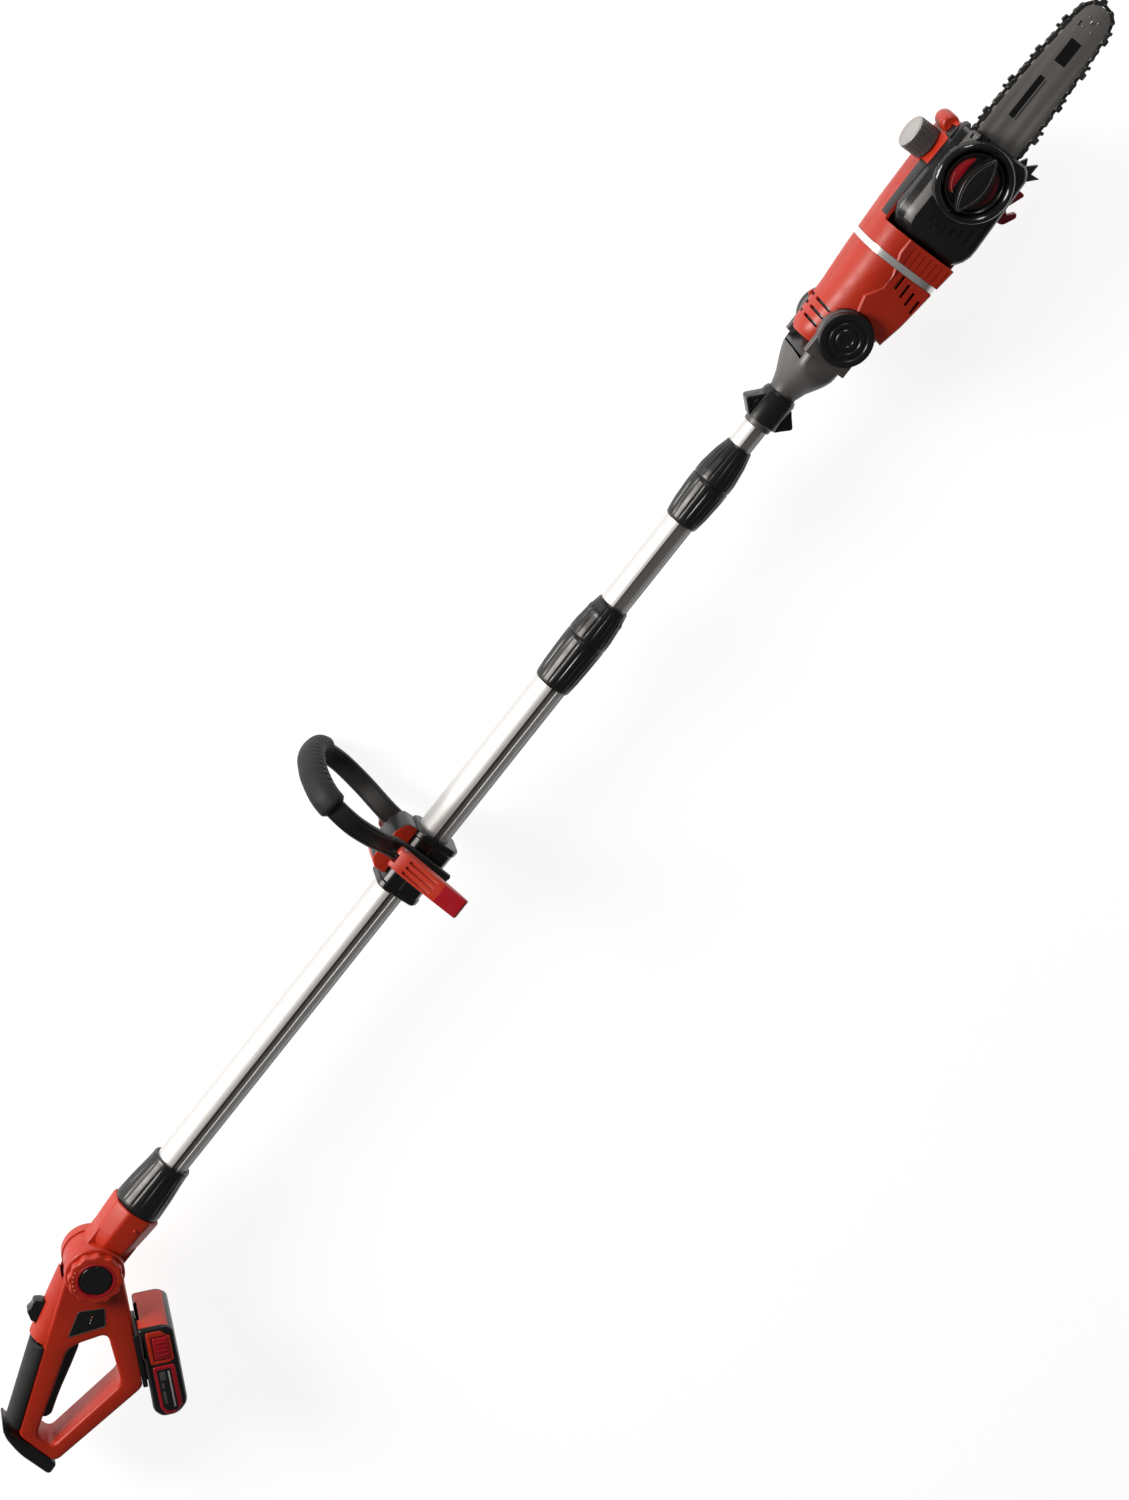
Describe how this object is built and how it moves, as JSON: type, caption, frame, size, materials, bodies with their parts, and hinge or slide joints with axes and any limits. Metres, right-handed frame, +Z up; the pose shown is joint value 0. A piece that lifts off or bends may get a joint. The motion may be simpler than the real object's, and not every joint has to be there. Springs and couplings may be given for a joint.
{
  "type": "telescoping pole saw",
  "caption": "Cordless telescoping pole saw: D-handle with side battery, sliding aluminium pole with loop handle, and a tilting saw head with a short guide bar.",
  "frame": {"origin": "middle of the underside of the saw as it lies on its side, sprocket cover up", "axes": "+X along the pole towards the saw head, +Y to the side of the loop handle, +Z up, out of the sprocket cover"},
  "size_m": [1.8438, 0.3258, 0.1544],
  "materials": {
    "red_plastic": "moulded orange-red ABS with a semi-gloss skin",
    "black_plastic": "black glass-filled nylon, fine moulded texture",
    "grey_plastic": "dark grey moulded nylon",
    "black_rubber": "soft overmoulded grip rubber",
    "aluminium_tube": "drawn and satin anodised",
    "bar_steel": "ground guide bar steel",
    "steel": "machined steel",
    "chain_steel": "blued chain steel",
    "silver_trim": "satin silver trim",
    "copper_core": "laminated armature with copper windings"
  },
  "bodies": {
    "pole": {"pole_socket": "red_plastic", "main_tube": "aluminium_tube", "lock_one_body": "black_plastic", "lock_one_collet": "grey_plastic", "coiled_lead": "black_rubber"},
    "handle": {"handle_shell_right": "red_plastic", "handle_shell_left": "red_plastic", "window_panel": "black_plastic", "soft_grip": "black_rubber", "foot_cap": "black_plastic", "trigger_switch": "grey_plastic", "handle_pin": "steel", "tilt_knob": "red_plastic", "battery_dock": "black_plastic"},
    "trigger": {"trigger": "black_plastic"},
    "lock_off_button": {"lock_off_button": "black_plastic"},
    "tilt_button": {"tilt_button": "black_plastic"},
    "battery": {"battery_case": "black_plastic"},
    "battery_button_right": {"battery_button_right": "red_plastic"},
    "battery_button_left": {"battery_button_left": "red_plastic"},
    "socket_nut": {"socket_nut": "black_plastic"},
    "lock_one_nut": {"lock_one_nut": "black_plastic"},
    "lock_two_nut": {"lock_two_nut": "black_plastic"},
    "middle_tube": {"middle_tube": "aluminium_tube", "lock_two_body": "black_plastic", "lock_two_collet": "grey_plastic"},
    "neck": {"top_tube": "aluminium_tube", "neck_fork": "grey_plastic", "pivot_pin": "steel", "pivot_cap_right": "black_plastic", "pivot_cap_left": "black_plastic"},
    "tilt_lock_slider": {"tilt_lock_slider": "black_plastic"},
    "head": {"head_shell_right": "red_plastic", "head_shell_left": "red_plastic", "silver_band": "silver_trim", "sprocket_cover": "black_plastic", "bar_stud": "steel", "branch_hook": "red_plastic", "bumper_spike": "black_plastic", "motor_can": "steel", "rear_bearing": "steel", "front_bearing": "steel", "oil_tank": "grey_plastic"},
    "tension_ring": {"tension_ring": "black_plastic"},
    "cover_knob": {"cover_knob": "black_plastic"},
    "oil_cap": {"oil_cap": "grey_plastic"},
    "output": {"drive_sprocket": "steel", "crown_gear": "steel"},
    "armature": {"armature": "copper_core"},
    "bar": {"guide_bar": "bar_steel", "saw_chain": "chain_steel"},
    "nose_sprocket": {"nose_sprocket": "steel"},
    "loop": {"clamp_upper": "black_plastic", "clamp_lower": "black_plastic", "clamp_saddle": "red_plastic", "loop_handle": "grey_plastic", "loop_grip": "black_rubber", "clamp_bolt": "steel"},
    "clamp_lever": {"clamp_lever": "red_plastic"}
  },
  "joints": [
    {"name": "handle_tilt", "type": "hinge", "parent": "pole", "child": "handle", "pos_m": [-0.69549, 0.00505, 0.06632], "axis": [0, 0, 1], "range_deg": [-30, 30]},
    {"name": "trigger_pull", "type": "hinge", "parent": "handle", "child": "trigger", "pos_m": [-0.78449, -0.02095, 0.06632], "axis": [0, 0, -1], "range_deg": [0, 6], "stiffness_Nm_per_rad": 1.2, "springref_deg": -6.88},
    {"name": "lock_off_press", "type": "slide", "parent": "handle", "child": "lock_off_button", "axis": [0.225, -0.9744, 0], "range_m": [0, 0.004], "stiffness_N_per_m": 500, "springref_m": -0.002},
    {"name": "tilt_button_press", "type": "slide", "parent": "handle", "child": "tilt_button", "axis": [0, 0, -1], "range_m": [0, 0.003], "stiffness_N_per_m": 800, "springref_m": -0.002},
    {"name": "battery_slide", "type": "slide", "parent": "handle", "child": "battery", "axis": [-0.7009, -0.7133, 0], "range_m": [0, 0.1]},
    {"name": "battery_button_right_press", "type": "slide", "parent": "battery", "child": "battery_button_right", "axis": [0, 0, -1], "range_m": [0, 0.0025], "stiffness_N_per_m": 600, "springref_m": -0.002},
    {"name": "battery_button_left_press", "type": "slide", "parent": "battery", "child": "battery_button_left", "axis": [0, 0, 1], "range_m": [0, 0.0025], "stiffness_N_per_m": 600, "springref_m": -0.002},
    {"name": "socket_nut_turn", "type": "hinge", "parent": "pole", "child": "socket_nut", "pos_m": [-0.58549, 0.00505, 0.06632], "axis": [1, 0, 0], "range_deg": [0, 90]},
    {"name": "lock_one_turn", "type": "hinge", "parent": "pole", "child": "lock_one_nut", "pos_m": [0.15451, 0.00505, 0.06632], "axis": [1, 0, 0], "range_deg": [0, 90]},
    {"name": "middle_tube_slide", "type": "slide", "parent": "pole", "child": "middle_tube", "axis": [1, 0, 0], "range_m": [-0.095, 0.45]},
    {"name": "lock_two_turn", "type": "hinge", "parent": "middle_tube", "child": "lock_two_nut", "pos_m": [0.35451, 0.00505, 0.06632], "axis": [1, 0, 0], "range_deg": [0, 90]},
    {"name": "top_tube_slide", "type": "slide", "parent": "middle_tube", "child": "neck", "axis": [1, 0, 0], "range_m": [-0.02, 0.45]},
    {"name": "tilt_lock_pull", "type": "slide", "parent": "neck", "child": "tilt_lock_slider", "axis": [-1, 0, 0], "range_m": [0, 0.005], "stiffness_N_per_m": 900, "springref_m": -0.002},
    {"name": "head_tilt", "type": "hinge", "parent": "neck", "child": "head", "pos_m": [0.52651, 0.00505, 0.06632], "axis": [0, 0, 1], "range_deg": [-60, 15]},
    {"name": "tension_ring_turn", "type": "hinge", "parent": "head", "child": "tension_ring", "pos_m": [0.71551, 0.00505, 0.11432], "axis": [0, 0, 1], "range_deg": [-43.5, 72.2]},
    {"name": "bar_tension", "type": "slide", "parent": "head", "child": "bar", "axis": [1, 0, 0], "range_m": [-0.0015, 0.0025]},
    {"name": "cover_knob_turn", "type": "hinge", "parent": "head", "child": "cover_knob", "pos_m": [0.71551, 0.00505, 0.11432], "axis": [0, 0, 1], "continuous": true},
    {"name": "oil_cap_turn", "type": "hinge", "parent": "head", "child": "oil_cap", "pos_m": [0.71651, 0.05505, 0.06632], "axis": [0, 1, 0], "continuous": true},
    {"name": "sprocket_spin", "type": "hinge", "parent": "head", "child": "output", "pos_m": [0.67851, 0.00505, 0.06632], "axis": [0, 0, 1], "continuous": true},
    {"name": "armature_spin", "type": "hinge", "parent": "head", "child": "armature", "pos_m": [0.60451, 0.00505, 0.06632], "axis": [1, 0, 0], "continuous": true},
    {"name": "nose_sprocket_spin", "type": "hinge", "parent": "bar", "child": "nose_sprocket", "pos_m": [0.89731, 0.00505, 0.09632], "axis": [0, 0, 1], "continuous": true},
    {"name": "loop_slide", "type": "slide", "parent": "pole", "child": "loop", "axis": [1, 0, 0], "range_m": [-0.3, 0.15]},
    {"name": "lever_open", "type": "hinge", "parent": "loop", "child": "clamp_lever", "pos_m": [-0.14049, 0.03605, 0.11532], "axis": [-1, 0, 0], "range_deg": [0, 72]}
  ],
  "couplings": [
    {"joint": "tension_ring_turn", "follows": "bar_tension", "rad_per_m": 500},
    {"joint": "armature_spin", "follows": "sprocket_spin", "ratio": -3},
    {"joint": "nose_sprocket_spin", "follows": "sprocket_spin", "ratio": 0.66667}
  ]
}
